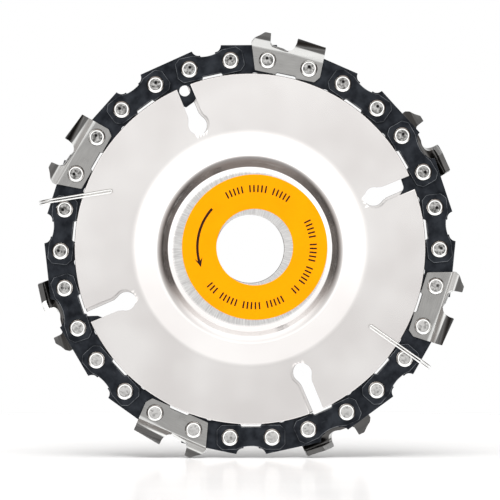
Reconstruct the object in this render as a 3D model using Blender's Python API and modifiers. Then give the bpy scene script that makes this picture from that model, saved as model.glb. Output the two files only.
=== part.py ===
# Angle grinder carving disc: a loop of saw chain held between two dished steel plates.
# The disc stands upright on its spindle: the axis is Y, the labelled front faces -Y, up is +Z.
# Sizes are in millimetres and angles in degrees, turned clockwise from the top as seen from
# the front. A link is modelled flat in its own X-Y plane: X runs clockwise along the chain,
# Y points away from the disc's axis and Z points to the front.
import math

import bmesh
import bpy
from mathutils import Matrix

MM = 0.001

# Saw chain
LINK_PAIRS = 15  # outer links, with as many drive links between them
OUTER_SPACING = 9.89  # between the two rivets of an outer link
DRIVE_SPACING = 8.72  # between the two rivets of a drive link
FIRST_LINK_ANGLE = 11.7
CUTTER_STEP = 2  # every second outer link carries a tooth
DRIVE_THICKNESS = 1.3
SIDE_THICKNESS = 1.2
CHAIN_SIDE_GAP = 0.12  # play between a drive link and each side link

# Rivets
RIVET_HEAD_DIAMETER = 4.05
RIVET_HEAD_HEIGHT = 0.5
RIVET_HEAD_BEVEL = 0.4
RIVET_SHANK_DIAMETER = 3.1
RIVET_HUB_DIAMETER = 4.2
SHANK_CLEARANCE = 0.1
HUB_CLEARANCE = 0.15
RIVET_END_PLAY = 0.05
RIVET_STEPS = 10

# Tie strap outline
STRAP_END = 3.1  # past the rivet
STRAP_HALF_HEIGHT = 2.9
STRAP_CORNER = 1.2
STRAP_WAIST_HEIGHT = 2.1
STRAP_WAIST_HALF_WIDTH = 3.5
FOOT_NOTCH_HALF_WIDTH = 2.2
FOOT_NOTCH_DEPTH = 0.55

# Drive link outline
HORN_HEIGHT = 3.65
HORN_END = 2.27  # past the rivet, along the flat top
DRIVE_END = 3.69  # past the rivet, at the shoulder
DRIVE_SHOULDER_HEIGHT = 2.0
DRIVE_END_RADIUS = 3.4
TANG_DEPTH = 7.8
TANG_HALF_WIDTH = 4.5
TANG_SHOULDER_DEPTH = 5.4
TANG_TIP_RISE = 0.5
OIL_HOLE_DIAMETER = 2.6
OIL_HOLE_OFFSET = 1.3
OIL_HOLE_DEPTH = 4.1

# Cutter
GAUGE_FRONT = 4.6  # ahead of the leading rivet
GAUGE_HEIGHT = 6.3
GAUGE_RAMP_HEIGHT = 3.4
GAUGE_LENGTH = 4.15
GAUGE_FLARE = 0.8
GULLET_HEIGHT = 3.1
GULLET_STEP = 0.45  # its rise towards the gauge
WALL_LAP = 0.1  # of the flat side plate into the walls that lean out of it
CUTTER_FOOT_FRONT = 2.45  # past the leading rivet, at the foot
CUTTER_TAIL = 3.0  # past the trailing rivet
CUTTER_CORNER = 1.1
TOP_PLATE_LENGTH = 7.2
TOP_PLATE_HEIGHT = 6.5
TOP_PLATE_DROP = 0.85  # from its cutting edge to its rear
FLARE_START = 2.8  # height at which the side plate leans out
FLARE_END = 4.5
CUTTER_FLARE = 1.2  # how far the cutting corner stands out past the side plate
REAR_FLARE = 0.85
TOP_PLATE_OVERHANG = 1.2  # past the middle of the chain
SHOULDER_RADIUS = 1.0
INSIDE_BEND = 0.3
FILE_DIAMETER = 4.2
FILE_ANGLE = 30.0
EDGE_SETBACK = 0.2

# Clamping plates
PLATE_THICKNESS = 1.5
PLATE_SIDE_GAP = 0.12  # play between a drive link's tang and each plate
RIM_CLEARANCE = 0.12  # under the side links' feet
BORE_DIAMETER = 15.9
HUB_FACE_RADIUS = 18.2
HUB_SHOULDER = 0.8
WALL_FOOT_RADIUS = 21.2
WALL_FOOT_HEIGHT = 1.2
DISH_RADIUS = 27.6
DISH_BLEND = 0.75  # half the width of each soft bend
DISH_HEIGHT = 3.4  # of the front plate's hub over its rim
HUB_GAP = 0.3  # between the two plates' hubs until the spindle nut closes it
NEST_INSET = 1.0  # the back plate's dish sits inside the front one
PLATE_STEPS = 36

# Keyhole slots
SLOT_COUNT = 4
SLOT_ANGLE = 67.7
SLOT_WIDTH = 3.4
SLOT_END_DIAMETER = 5.0
SLOT_END_RADIUS = 31.7  # from the disc's axis to the middle of the round end
BACK_PLATE_TURN = -1.2  # the back plate sits a little anticlockwise of the front one

# Label
LABEL_OUTER_DIAMETER = 34.0
LABEL_INNER_DIAMETER = 17.9
LABEL_THICKNESS = 0.15
LABEL_GAP = 0.05
LABEL_SHIFT_RIGHT = 1.1  # stuck on a little off the middle
LABEL_SHIFT_UP = 0.4

# Retaining clips, each a hairpin of sprung wire over the chain
CLIP_WIRE_DIAMETER = 0.45
CLIP_STRAND_SPACING = 0.62
CLIP_LENGTH = 17.2
CLIP_STAND_OFF = 2.65  # past the tops of the drive links
CLIP_CLEARANCE = 0.3
# Each clip's outer link, how far clockwise of its middle it sits, and its lean in degrees
CLIPS = {
    "clip_left": {"link": 12, "along": 5.13, "lean": -21.7},
    "clip_right": {"link": 6, "along": -6.37, "lean": 1.6},
}

# Worked out from the sizes above
pair_angle = 2 * math.pi / LINK_PAIRS
pair_chord = math.sqrt(
    OUTER_SPACING**2 + DRIVE_SPACING**2 + 2 * OUTER_SPACING * DRIVE_SPACING * math.cos(pair_angle / 2)
)
pitch_radius = pair_chord / (2 * math.sin(pair_angle / 2))
outer_link_radius = math.sqrt(pitch_radius**2 - (OUTER_SPACING / 2) ** 2)
drive_link_radius = math.sqrt(pitch_radius**2 - (DRIVE_SPACING / 2) ** 2)
outer_half = OUTER_SPACING / 2
drive_half = DRIVE_SPACING / 2
side_inner = DRIVE_THICKNESS / 2 + CHAIN_SIDE_GAP
side_outer = side_inner + SIDE_THICKNESS
head_top = side_outer + RIVET_END_PLAY + RIVET_HEAD_HEIGHT
plate_middle = DRIVE_THICKNESS / 2 + PLATE_SIDE_GAP + PLATE_THICKNESS / 2
rim_radius = outer_link_radius - STRAP_HALF_HEIGHT - RIM_CLEARANCE
back_dish_height = DISH_HEIGHT + 2 * plate_middle - PLATE_THICKNESS - HUB_GAP
hub_front = plate_middle + DISH_HEIGHT + PLATE_THICKNESS / 2
clip_height = max(head_top, plate_middle + PLATE_THICKNESS / 2) + CLIP_CLEARANCE + CLIP_WIRE_DIAMETER / 2
clip_reach = drive_link_radius + HORN_HEIGHT + CLIP_STAND_OFF


def new_collection(name):
    collection = bpy.data.collections.new(name)
    bpy.context.scene.collection.children.link(collection)
    return collection


def new_material(name, colour, metallic, roughness):
    material = bpy.data.materials.new(name)
    material.use_nodes = True
    material.diffuse_color = (*colour, 1)
    shader = material.node_tree.nodes["Principled BSDF"]
    shader.inputs["Base Color"].default_value = (*colour, 1)
    shader.inputs["Metallic"].default_value = metallic
    shader.inputs["Roughness"].default_value = roughness
    return material


def new_object(name, data, collection, material=None, parent=None):
    item = bpy.data.objects.new(name, data)
    collection.objects.link(item)
    if material:
        data.materials.clear()
        data.materials.append(material)
    if parent:
        item.parent = parent
    return item


def new_axis(name):
    # An empty on the disc's axis, for what turns about it
    axis = bpy.data.objects.new(name, None)
    axis.empty_display_size = 10 * MM
    parts.objects.link(axis)
    return axis


def place(item, angle, radius):
    # Stands a flat piece up on the disc, its own +Y pointing away from the axis
    turn = math.radians(angle)
    item.rotation_euler = (math.pi / 2, turn, 0)
    item.location = (radius * MM * math.sin(turn), 0, radius * MM * math.cos(turn))


def evaluated_mesh(item):
    # The finished mesh of a curve or of an object with modifiers, which is then removed
    graph = bpy.context.evaluated_depsgraph_get()
    mesh = bpy.data.meshes.new_from_object(item.evaluated_get(graph), depsgraph=graph)
    mesh.transform(item.matrix_world)
    bpy.data.objects.remove(item)
    model = bmesh.new()
    model.from_mesh(mesh)
    bmesh.ops.remove_doubles(model, verts=model.verts, dist=0.001 * MM)
    bmesh.ops.recalc_face_normals(model, faces=model.faces)
    model.to_mesh(mesh)
    model.free()
    return mesh


def arc(centre_x, centre_y, radius, start, end, steps):
    points = []
    for step in range(steps + 1):
        angle = math.radians(start + (end - start) * step / steps)
        points.append((centre_x + radius * math.cos(angle), centre_y + radius * math.sin(angle)))
    return points


def circle(centre_x, centre_y, diameter, steps):
    return arc(centre_x, centre_y, diameter / 2, 0, 360, steps)[:-1]


def dip(start_x, end_x, end_y, middle_y, steps):
    # An even curve between two points at one height, through a third height half way
    points = []
    for step in range(steps + 1):
        along = step / steps
        rise = (2 * along - 1) ** 2 * (end_y - middle_y)
        points.append((start_x + (end_x - start_x) * along, middle_y + rise))
    return points


def flat_mesh(outlines, thickness, height=0.0):
    # A flat piece from its outline, with the outlines after the first as holes
    curve = bpy.data.curves.new("outline", "CURVE")
    curve.dimensions = "2D"
    curve.fill_mode = "BOTH"
    curve.extrude = thickness / 2 * MM
    for outline in outlines:
        spline = curve.splines.new("POLY")
        spline.points.add(len(outline) - 1)
        spline.use_cyclic_u = True
        for point, (x, y) in zip(spline.points, outline):
            point.co = (x * MM, y * MM, 0, 1)
    item = new_object("outline", curve, cutters)
    mesh = evaluated_mesh(item)
    bpy.data.curves.remove(curve)
    mesh.transform(Matrix.Translation((0, 0, height * MM)))
    return mesh


def turned_item(profile, steps):
    # A profile turned about Z, from its outer side read from top to bottom
    mesh = bpy.data.meshes.new("profile")
    edges = [(index, index + 1) for index in range(len(profile) - 1)]
    mesh.from_pydata([(radius * MM, 0, height * MM) for radius, height in profile], edges, [])
    item = new_object("profile", mesh, cutters)
    screw = item.modifiers.new("turn", "SCREW")
    screw.steps = steps
    screw.render_steps = steps
    screw.use_merge_vertices = True
    screw.merge_threshold = 0.001 * MM
    return item


def turned_mesh(profile, steps):
    # A solid of revolution
    return evaluated_mesh(turned_item(profile, steps))


def sheet_mesh(profile, steps, thickness):
    # A turned sheet of even thickness about its middle line
    item = turned_item(profile, steps)
    wall = item.modifiers.new("wall", "SOLIDIFY")
    wall.thickness = thickness * MM
    wall.offset = 0
    wall.use_even_offset = True
    return evaluated_mesh(item)


def combined_mesh(mesh, operation, tools):
    # Cuts the tools out of a mesh, or joins them to it
    item = new_object("body", mesh, cutters)
    for tool in tools:
        change = item.modifiers.new(operation.lower(), "BOOLEAN")
        change.operation = operation
        change.solver = "EXACT"
        change.object = tool
    bpy.context.view_layer.update()
    return evaluated_mesh(item)


def new_tool(name, mesh, matrix=None):
    # A shape that only cuts, joins or trims another
    tool = new_object(name, mesh, cutters)
    tool.hide_render = True
    tool.display_type = "WIRE"
    if matrix:
        tool.matrix_world = matrix
    return tool


def mirrored_mesh(mesh):
    # The same piece for the other side of the chain
    copy = mesh.copy()
    copy.transform(Matrix.Scale(-1, 4, (0, 0, 1)))
    copy.flip_normals()
    return copy


def foot_outline(left, right):
    # The lower edge of a side link, from left to right, with the notch between its two feet
    notch_top = -STRAP_HALF_HEIGHT + FOOT_NOTCH_DEPTH
    return [
        (left, -STRAP_HALF_HEIGHT),
        (-FOOT_NOTCH_HALF_WIDTH - FOOT_NOTCH_DEPTH / 2, -STRAP_HALF_HEIGHT),
        (-FOOT_NOTCH_HALF_WIDTH, notch_top),
        (FOOT_NOTCH_HALF_WIDTH, notch_top),
        (FOOT_NOTCH_HALF_WIDTH + FOOT_NOTCH_DEPTH / 2, -STRAP_HALF_HEIGHT),
        (right, -STRAP_HALF_HEIGHT),
    ]


def strap_outline():
    end = outer_half + STRAP_END
    top = STRAP_HALF_HEIGHT
    side = STRAP_HALF_HEIGHT - STRAP_CORNER
    waist = dip(STRAP_WAIST_HALF_WIDTH, -STRAP_WAIST_HALF_WIDTH, top, STRAP_WAIST_HEIGHT, 4)
    outline = foot_outline(-end + STRAP_CORNER, end - STRAP_CORNER)
    outline += [(end, -side), (end, side), (end - STRAP_CORNER, top)]
    outline += waist
    outline += [(-end + STRAP_CORNER, top), (-end, side), (-end, -side)]
    return outline


def shank_holes():
    diameter = RIVET_SHANK_DIAMETER + 2 * SHANK_CLEARANCE
    return [circle(side * outer_half, 0, diameter, RIVET_STEPS) for side in (-1, 1)]


def strap_mesh():
    return flat_mesh([strap_outline(), *shank_holes()], SIDE_THICKNESS, side_inner + SIDE_THICKNESS / 2)


def rivet_mesh():
    # Set in the back strap: a bearing hub for the drive link, then a shank with its peened head
    head = RIVET_HEAD_DIAMETER / 2
    hub = RIVET_HUB_DIAMETER / 2
    shank = RIVET_SHANK_DIAMETER / 2
    profile = [
        (0, head_top),
        (head - RIVET_HEAD_BEVEL, head_top),
        (head, head_top - RIVET_HEAD_BEVEL),
        (head, side_outer + RIVET_END_PLAY),
        (shank, side_outer + RIVET_END_PLAY),
        (shank, side_inner - RIVET_END_PLAY),
        (hub, side_inner - RIVET_END_PLAY),
        (head, -head_top),
        (0, -head_top),
    ]
    return turned_mesh(profile, RIVET_STEPS)


def preset_mesh():
    # A back strap with its two rivets fixed in it
    strap = flat_mesh([strap_outline()], SIDE_THICKNESS, -side_inner - SIDE_THICKNESS / 2)
    rivet = rivet_mesh()
    tools = []
    for side in (-1, 1):
        matrix = Matrix.Translation((side * outer_half * MM, 0, 0))
        tools.append(new_tool("rivet_shape", rivet, matrix))
    return combined_mesh(strap, "UNION", tools)


def drive_link_mesh():
    # The flat-topped link whose tang runs between the plates
    end = drive_half + DRIVE_END
    horn = drive_half + HORN_END
    scoop_x = horn + 0.3 * (DRIVE_END - HORN_END)
    scoop_y = HORN_HEIGHT - 0.7 * (HORN_HEIGHT - DRIVE_SHOULDER_HEIGHT)
    outline = [
        (-horn, HORN_HEIGHT),
        (horn, HORN_HEIGHT),
        (scoop_x, scoop_y),
        (end, DRIVE_SHOULDER_HEIGHT),
        *arc(drive_half, 0, DRIVE_END_RADIUS, 5, -65, 4),
        (TANG_HALF_WIDTH, -TANG_SHOULDER_DEPTH),
        (TANG_HALF_WIDTH / 2, -TANG_DEPTH + TANG_TIP_RISE),
        (0, -TANG_DEPTH),
        (-TANG_HALF_WIDTH / 2, -TANG_SHOULDER_DEPTH),
        (-TANG_HALF_WIDTH, -TANG_SHOULDER_DEPTH),
        *arc(-drive_half, 0, DRIVE_END_RADIUS, -115, -185, 4),
        (-end, DRIVE_SHOULDER_HEIGHT),
        (-scoop_x, scoop_y),
    ]
    bearing = RIVET_HUB_DIAMETER + 2 * HUB_CLEARANCE
    holes = [circle(side * drive_half, 0, bearing, RIVET_STEPS) for side in (-1, 1)]
    holes.append(circle(OIL_HOLE_OFFSET, -OIL_HOLE_DEPTH, OIL_HOLE_DIAMETER, 8))
    return flat_mesh([outline, *holes], DRIVE_THICKNESS)


def side_plate_mesh():
    # The cutter's flat part, up to where its gauge and its top plate lean out
    front = -outer_half - GAUGE_FRONT
    rear = outer_half + CUTTER_TAIL
    edge = rear - TOP_PLATE_LENGTH
    gauge_rear = front + GAUGE_LENGTH
    lap = FLARE_START + WALL_LAP
    outline = foot_outline(-outer_half - CUTTER_FOOT_FRONT, rear - CUTTER_CORNER)
    outline += [
        (rear, -STRAP_HALF_HEIGHT + 1.3 * CUTTER_CORNER),
        (rear, lap),
        (edge, lap),
        (edge - 3 * GULLET_STEP, GULLET_HEIGHT),
        (gauge_rear + 4 * GULLET_STEP, GULLET_HEIGHT + 0.8 * GULLET_STEP),
        (gauge_rear + 2 * GULLET_STEP, GULLET_HEIGHT + GULLET_STEP),
        (gauge_rear, lap),
        (front + 2 * WALL_LAP, lap),
    ]
    return flat_mesh([outline, *shank_holes()], SIDE_THICKNESS, side_inner + SIDE_THICKNESS / 2)


def top_plate_section(height, flare):
    # The leaning wall and the top plate across the chain, once round: (Z, Y) pairs
    foot = FLARE_START - SIDE_THICKNESS / 2
    corner = side_outer + flare
    underside = height - SIDE_THICKNESS
    outside = [(side_outer, foot), (side_outer, FLARE_START), (corner, FLARE_END)]
    shoulder = arc(corner - SHOULDER_RADIUS, height - SHOULDER_RADIUS, SHOULDER_RADIUS, 0, 90, 3)
    across = [(-TOP_PLATE_OVERHANG, height), (-TOP_PLATE_OVERHANG, underside)]
    inside = [
        (corner - SIDE_THICKNESS - INSIDE_BEND, underside),
        (corner - SIDE_THICKNESS, underside - INSIDE_BEND),
        (side_inner, FLARE_START + INSIDE_BEND),
        (side_inner, foot),
    ]
    return outside + shoulder + across + inside


def gauge_section(height, flare):
    foot = FLARE_START - SIDE_THICKNESS / 2
    outside = [(side_outer, foot), (side_outer, FLARE_START)]
    outside += [(side_outer + flare, FLARE_END), (side_outer + flare, height)]
    inside = [(z - SIDE_THICKNESS, y) for z, y in outside]
    return outside + inside[::-1]


def loft_mesh(front_x, front_section, rear_x, rear_section):
    # A solid between two sections that have the same number of points
    model = bmesh.new()
    rings = []
    for x, section in ((front_x, front_section), (rear_x, rear_section)):
        rings.append([model.verts.new((x * MM, y * MM, z * MM)) for z, y in section])
    count = len(front_section)
    for index in range(count):
        after = (index + 1) % count
        model.faces.new((rings[0][index], rings[0][after], rings[1][after], rings[1][index]))
    for ring in rings:
        model.faces.new(ring)
    bmesh.ops.recalc_face_normals(model, faces=model.faces)
    mesh = bpy.data.meshes.new("loft")
    model.to_mesh(mesh)
    model.free()
    return mesh


def top_plate_mesh():
    # Lower and narrower at its rear, so that only its leading edge touches the wood
    rear = outer_half + CUTTER_TAIL - WALL_LAP / 2
    front = rear - TOP_PLATE_LENGTH - FILE_DIAMETER / 8
    leading = top_plate_section(TOP_PLATE_HEIGHT, CUTTER_FLARE)
    trailing = top_plate_section(TOP_PLATE_HEIGHT - TOP_PLATE_DROP, REAR_FLARE)
    return loft_mesh(front, leading, rear, trailing)


def gauge_mesh():
    # The depth gauge: a ramped fin ahead of the tooth
    front = -outer_half - GAUGE_FRONT
    rear = front + GAUGE_LENGTH
    fin = [
        (front + WALL_LAP, FLARE_START - 3 * WALL_LAP),
        (rear + 2 * WALL_LAP, FLARE_START - 3 * WALL_LAP),
        (rear, GAUGE_HEIGHT),
        (front + 0.66 * GAUGE_LENGTH, GAUGE_HEIGHT),
    ]
    for along in (0.41, 0.16):
        ramp = GAUGE_HEIGHT - GAUGE_RAMP_HEIGHT
        fin.append((front + along * GAUGE_LENGTH, GAUGE_HEIGHT - ramp * (0.66 - along) ** 0.8))
    fin.append((front, GAUGE_RAMP_HEIGHT))
    section = gauge_section(2 * GAUGE_HEIGHT, GAUGE_FLARE)
    wall = loft_mesh(front - SIDE_THICKNESS, section, rear + SIDE_THICKNESS, section)
    fin_tool = new_tool("fin_shape", flat_mesh([fin], 6 * SIDE_THICKNESS, side_outer))
    return combined_mesh(wall, "INTERSECT", [fin_tool])


def file_mesh():
    # The round file whose groove makes the hooked cutting edge
    radius = FILE_DIAMETER / 2
    end = 4 * FILE_DIAMETER
    return turned_mesh([(0, end), (radius, end), (radius, -end), (0, -end)], 16)


def cutter_mesh():
    # The tooth for the front side of the chain: side plate, depth gauge and filed top plate
    additions = [new_tool("top_plate_shape", top_plate_mesh()), new_tool("gauge_shape", gauge_mesh())]
    joined = combined_mesh(side_plate_mesh(), "UNION", additions)
    edge = outer_half + CUTTER_TAIL - TOP_PLATE_LENGTH
    groove_x = edge - FILE_DIAMETER / 2 + EDGE_SETBACK
    groove_y = GULLET_HEIGHT + FILE_DIAMETER / 2
    corner = side_outer + CUTTER_FLARE
    matrix = Matrix.Translation((groove_x * MM, groove_y * MM, corner * MM))
    matrix = matrix @ Matrix.Rotation(math.radians(-FILE_ANGLE), 4, "Y")
    groove = new_tool("file_shape", file_mesh(), matrix)
    return combined_mesh(joined, "DIFFERENCE", [groove])


def slot_tools(turn):
    # Keyhole slots from the rim to a round end
    half = SLOT_WIDTH / 2
    radius = SLOT_END_DIAMETER / 2
    mouth = math.degrees(math.asin(half / radius))
    outline = arc(0, SLOT_END_RADIUS, radius, 90 + mouth, 450 - mouth, 14)
    outline += [(half, rim_radius + half), (-half, rim_radius + half)]
    mesh = flat_mesh([outline], 4 * hub_front)
    tools = []
    for index in range(SLOT_COUNT):
        angle = math.radians(SLOT_ANGLE + turn + 360 * index / SLOT_COUNT)
        tools.append(new_tool("slot_shape", mesh, Matrix.Rotation(-angle, 4, "Z")))
    return tools


def plate_profile(dish_height, inset, base):
    # Middle line of a dished plate, from bore to rim, with heights measured to the front
    hub = base + dish_height
    foot = base + WALL_FOOT_HEIGHT + (dish_height - DISH_HEIGHT) / 2
    hub_edge = HUB_FACE_RADIUS - inset
    wall_foot = WALL_FOOT_RADIUS - inset
    dish_edge = DISH_RADIUS - inset
    return [
        (BORE_DIAMETER / 2, hub),
        (hub_edge, hub),
        (hub_edge + HUB_SHOULDER, hub - 0.4 * HUB_SHOULDER),
        (wall_foot, foot + 0.4 * DISH_BLEND),
        (wall_foot + DISH_BLEND, foot - 0.2 * DISH_BLEND),
        (dish_edge - DISH_BLEND, base + 0.1 * DISH_BLEND),
        (dish_edge + DISH_BLEND, base),
        (rim_radius, base),
    ]


def plate_mesh(dish_height, inset, base, turn):
    dish = sheet_mesh(plate_profile(dish_height, inset, base), PLATE_STEPS, PLATE_THICKNESS)
    return combined_mesh(dish, "DIFFERENCE", slot_tools(turn))


def label_mesh():
    rings = [circle(0, 0, LABEL_OUTER_DIAMETER, 40), circle(0, 0, LABEL_INNER_DIAMETER, 28)]
    return flat_mesh(rings, LABEL_THICKNESS, hub_front + LABEL_GAP + LABEL_THICKNESS / 2)


def clip_path():
    # From one free end behind the disc, over the chain to the front, round the inner loop and back
    strand = CLIP_STRAND_SPACING / 2
    inner_end = strand - CLIP_LENGTH
    bend = [(y - clip_height, z) for y, z in arc(0, 0, clip_height, -90, 90, 7)]
    loop = arc(0, inner_end, strand, 180, 360, 5)
    path = [(-strand, inner_end, -clip_height)]
    path += [(-strand, y, z) for y, z in bend]
    path += [(x, y, clip_height) for x, y in loop]
    path += [(strand, y, z) for y, z in reversed(bend)]
    path.append((strand, inner_end, -clip_height))
    return path


def clip_mesh():
    curve = bpy.data.curves.new("clip_wire", "CURVE")
    curve.dimensions = "3D"
    curve.bevel_depth = CLIP_WIRE_DIAMETER / 2 * MM
    curve.bevel_resolution = 2
    curve.use_fill_caps = True
    path = clip_path()
    spline = curve.splines.new("POLY")
    spline.points.add(len(path) - 1)
    for point, (x, y, z) in zip(spline.points, path):
        point.co = (x * MM, y * MM, z * MM, 1)
    mesh = evaluated_mesh(new_object("clip_wire", curve, cutters))
    bpy.data.curves.remove(curve)
    return mesh


def add_plates():
    steel = new_material("stainless_plate", (0.72, 0.71, 0.69), 1.0, 0.3)
    front = plate_mesh(DISH_HEIGHT, 0, plate_middle, 0)
    back = plate_mesh(back_dish_height, NEST_INSET, -plate_middle, BACK_PLATE_TURN)
    front_axis = new_axis("front_plate_axis")
    place(new_object("front_plate", front, parts, steel, front_axis), 0, 0)
    place(new_object("back_plate", back, parts, steel), 0, 0)
    orange = new_material("label_orange", (1.0, 0.46, 0.0), 0.0, 0.45)
    label = new_object("label", label_mesh(), parts, orange, front_axis)
    place(label, 0, 0)
    label.location = (LABEL_SHIFT_RIGHT * MM, 0, LABEL_SHIFT_UP * MM)


def add_side_links(axis, blued, bright):
    # A cutter or a plain strap on each outer link, and the preset on the other side of the chain
    strap = strap_mesh()
    preset = preset_mesh()
    cutter = cutter_mesh()
    back_cutter = mirrored_mesh(cutter)
    front_preset = mirrored_mesh(preset)
    for index in range(LINK_PAIRS):
        angle = FIRST_LINK_ANGLE + 360 / LINK_PAIRS * index
        has_tooth = index % CUTTER_STEP == 0 and index + 1 < LINK_PAIRS
        on_back = has_tooth and index // CUTTER_STEP % 2 == 1
        number = f"{index + 1:02d}"
        preset_shape = front_preset if on_back else preset
        place(new_object(f"preset_{number}", preset_shape, parts, blued, axis), angle, outer_link_radius)
        if has_tooth:
            cutter_shape = back_cutter if on_back else cutter
            side = new_object(f"cutter_{number}", cutter_shape, parts, bright, axis)
        else:
            side = new_object(f"tie_strap_{number}", strap, parts, blued, axis)
        place(side, angle, outer_link_radius)


def add_drive_links(axis, blued):
    drive = drive_link_mesh()
    for index in range(LINK_PAIRS):
        angle = FIRST_LINK_ANGLE + 360 / LINK_PAIRS * (index + 0.5)
        link = new_object(f"drive_link_{index + 1:02d}", drive, parts, blued, axis)
        place(link, angle, drive_link_radius)


def add_chain(axis):
    blued = new_material("blued_steel", (0.014, 0.015, 0.017), 0.9, 0.35)
    bright = new_material("cutter_steel", (0.5, 0.5, 0.5), 1.0, 0.3)
    add_side_links(axis, blued, bright)
    add_drive_links(axis, blued)


def add_clips(axis):
    wire = new_material("clip_wire", (0.85, 0.85, 0.85), 1.0, 0.2)
    mesh = clip_mesh()
    for name, clip in CLIPS.items():
        turn = math.radians(FIRST_LINK_ANGLE) + (clip["link"] - 1) * pair_angle + clip["along"] / pitch_radius
        item = new_object(name, mesh, parts, wire, axis)
        place(item, math.degrees(turn) + clip["lean"], 0)
        item.location = (clip_reach * MM * math.sin(turn), 0, clip_reach * MM * math.cos(turn))


for old in list(bpy.data.objects):
    bpy.data.objects.remove(old)
parts = new_collection("carving_disc")
cutters = new_collection("cutters")
add_plates()
chain_axis = new_axis("chain_axis")
add_chain(chain_axis)
add_clips(chain_axis)
bpy.context.view_layer.update()
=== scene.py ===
import math

import bmesh
import bpy
from mathutils import Matrix, Vector


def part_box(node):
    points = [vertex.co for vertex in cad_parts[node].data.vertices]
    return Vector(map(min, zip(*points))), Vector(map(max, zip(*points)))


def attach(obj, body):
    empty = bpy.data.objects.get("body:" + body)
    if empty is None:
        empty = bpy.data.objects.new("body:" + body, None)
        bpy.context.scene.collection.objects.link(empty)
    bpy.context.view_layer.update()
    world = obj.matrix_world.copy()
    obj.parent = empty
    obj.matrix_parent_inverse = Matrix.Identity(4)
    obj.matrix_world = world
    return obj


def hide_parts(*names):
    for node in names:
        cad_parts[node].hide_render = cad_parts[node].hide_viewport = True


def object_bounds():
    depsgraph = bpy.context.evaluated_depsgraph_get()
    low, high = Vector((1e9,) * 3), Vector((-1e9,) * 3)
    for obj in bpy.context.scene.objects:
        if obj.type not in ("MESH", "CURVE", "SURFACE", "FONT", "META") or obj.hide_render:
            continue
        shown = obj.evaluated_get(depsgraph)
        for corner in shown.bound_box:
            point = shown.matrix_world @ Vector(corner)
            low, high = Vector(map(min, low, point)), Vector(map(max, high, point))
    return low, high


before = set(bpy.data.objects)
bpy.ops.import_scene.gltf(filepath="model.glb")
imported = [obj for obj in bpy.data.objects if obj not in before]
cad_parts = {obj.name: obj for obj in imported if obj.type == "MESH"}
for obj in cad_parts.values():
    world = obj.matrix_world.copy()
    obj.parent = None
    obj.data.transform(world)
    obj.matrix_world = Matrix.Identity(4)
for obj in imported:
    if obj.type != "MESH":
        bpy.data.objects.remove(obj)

mm = 0.001
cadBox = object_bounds()

# Sizes here are millimetres and angles are degrees, clockwise from the top as seen from the label.
# A link is drawn flat: x runs clockwise along the chain, y away from the spindle, z to the front.
chain = {
    "linkPairs": 15,
    "outerSpacing": 9.89,
    "driveSpacing": 8.72,
    "firstLink": 11.7,
    "shankClearance": 0.1,
}


def cadDepths(node):
    # How far a node's front and back faces stand in front of the chain's middle
    low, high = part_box(node)
    return -low[1] / mm, -high[1] / mm


sideOuter, sideInner = cadDepths("tie_strap_02")
headTop = cadDepths("preset_02")[0]
driveHalf = cadDepths("drive_link_01")[0]
plateFace = -cadDepths("back_plate")[1]
labelFront, labelBack = cadDepths("label")
clipHeight = (cadDepths("clip_left")[0] - cadDepths("clip_left")[1]) / 2
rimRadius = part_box("front_plate")[1][0] / mm
labelLow, labelHigh = (Vector(corner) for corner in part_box("label"))
labelRadius = (labelHigh.x - labelLow.x) / 2 / mm
labelMiddle = Vector(((labelLow.x + labelHigh.x) / 2, 0, (labelLow.z + labelHigh.z) / 2))

halfPair = math.pi / chain["linkPairs"]
outerHalf = chain["outerSpacing"] / 2
driveHalfSpacing = chain["driveSpacing"] / 2
pairChord = math.sqrt(
    4 * outerHalf**2 + 4 * driveHalfSpacing**2 + 8 * outerHalf * driveHalfSpacing * math.cos(halfPair)
)
pitchRadius = pairChord / (2 * math.sin(halfPair))
outerRadius = math.sqrt(pitchRadius**2 - outerHalf**2)
driveRadius = math.sqrt(pitchRadius**2 - driveHalfSpacing**2)
outerHalfAngle = math.degrees(math.asin(outerHalf / pitchRadius))
linkStep = 360 / chain["linkPairs"]
linkNumbers = range(1, chain["linkPairs"] + 1)


def linear(hexText):
    # An sRGB hex colour as the linear values that nodes take
    values = [int(hexText[i:i + 2], 16) / 255 for i in (1, 3, 5)]
    return [v / 12.92 if v <= 0.04045 else ((v + 0.055) / 1.055) ** 2.4 for v in values] + [1.0]


colorMix = {"output": 2, "data_type": "RGBA"}
smooth = {"interpolation_type": "SMOOTHSTEP"}


def addNode(tree, kind, inputs=(), output=0, **settings):
    # One node with its settings; each input is a value, or the output that feeds it
    node = tree.nodes.new(kind)
    for name, value in settings.items():
        setattr(node, name, value)
    for name, value in inputs.items() if isinstance(inputs, dict) else enumerate(inputs):
        if isinstance(value, bpy.types.NodeSocket):
            tree.links.new(value, node.inputs[name])
        else:
            node.inputs[name].default_value = value
    return node.outputs[output] if node.outputs else node


def newMesh(item):
    # The finished mesh of an object with modifiers, which then goes
    bpy.context.view_layer.update()
    graph = bpy.context.evaluated_depsgraph_get()
    mesh = bpy.data.meshes.new_from_object(item.evaluated_get(graph), depsgraph=graph)
    mesh.transform(item.matrix_world)
    bpy.data.objects.remove(item)
    return mesh


def newItem(name, data):
    item = bpy.data.objects.new(name, data)
    bpy.context.scene.collection.objects.link(item)
    return item


def cleaned(mesh, flatten=False):
    # Doubles merged, faces outwards, and with flatten the triangles of flat faces joined up
    work = bmesh.new()
    work.from_mesh(mesh)
    bmesh.ops.remove_doubles(work, verts=work.verts, dist=0.0005 * mm)
    if flatten:
        bmesh.ops.dissolve_limit(work, angle_limit=math.radians(0.5), verts=work.verts, edges=work.edges)
    bmesh.ops.recalc_face_normals(work, faces=work.faces)
    work.to_mesh(mesh)
    work.free()
    return mesh


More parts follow.
